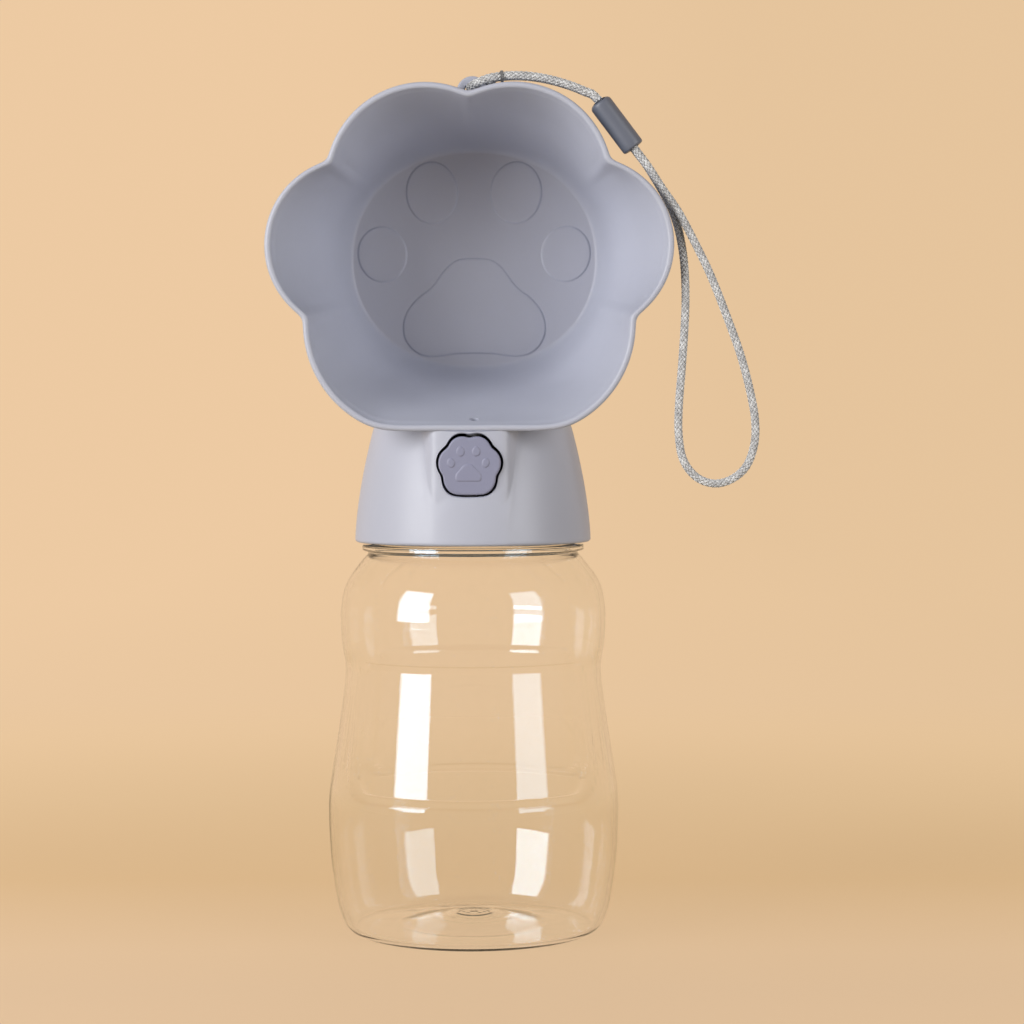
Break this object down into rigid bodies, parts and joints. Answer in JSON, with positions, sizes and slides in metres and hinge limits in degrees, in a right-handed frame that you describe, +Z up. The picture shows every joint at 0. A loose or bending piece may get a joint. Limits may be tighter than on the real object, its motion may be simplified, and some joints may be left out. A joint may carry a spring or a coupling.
{
  "type": "dog travel water bottle",
  "caption": "Clear drinking bottle for dogs with a screw-on flower-shaped bowl, a sprung paw button that opens a valve into the bowl, and a wrist cord.",
  "frame": {"origin": "centre of the bottle's base, on the surface that it stands on", "axes": "+Z up along the bottle's axis, the bowl opens towards -Y, +X to the right seen from the open side"},
  "size_m": [0.122, 0.0744, 0.217],
  "materials": {
    "clear_plastic": "clear, glossy",
    "grey_plastic": "satin, light lavender grey",
    "button_plastic": "satin, darker lavender grey",
    "slider_plastic": "satin, dark grey",
    "inner_plastic": "satin, natural white",
    "silicone": "matte, milky white",
    "seal_rubber": "matte black",
    "spring_steel": "drawn wire",
    "cord_fabric": "braided, light grey"
  },
  "bodies": {
    "bottle": {"bottle": "clear_plastic"},
    "lip_seal": {"neck_seal": "silicone"},
    "head": {"thread_insert": "grey_plastic", "collar": "grey_plastic", "bowl": "grey_plastic", "valve_body": "inner_plastic", "valve_plug": "inner_plastic", "plug_o_ring": "seal_rubber", "outlet_seal": "silicone", "return_spring": "spring_steel", "wrist_cord": "cord_fabric", "cord_binding": "cord_fabric"},
    "push_button": {"button": "button_plastic", "plunger": "inner_plastic", "front_o_ring": "seal_rubber", "seat_washer": "seal_rubber"},
    "slider": {"cord_slider": "slider_plastic"}
  },
  "joints": [
    {"name": "head_lift", "type": "slide", "parent": "bottle", "child": "lip_seal", "axis": [0, 0, 1], "range_m": [0, 0.00601]},
    {"name": "head_turn", "type": "hinge", "parent": "lip_seal", "child": "head", "pos_m": [0, 0, 0.1], "axis": [0, 0, 1], "range_deg": [0, 540]},
    {"name": "button_press", "type": "slide", "parent": "head", "child": "push_button", "axis": [0, 1, 0], "range_m": [0, 0.0025], "stiffness_N_per_m": 300, "springref_m": -0.004, "deforming": ["return_spring"]},
    {"name": "slider_slide", "type": "slide", "parent": "head", "child": "slider", "axis": [0.5981, 0, -0.8014], "range_m": [-0.001, 0.005]}
  ],
  "couplings": [
    {"joint": "head_lift", "follows": "head_turn", "m_per_rad": 0.00063662}
  ]
}
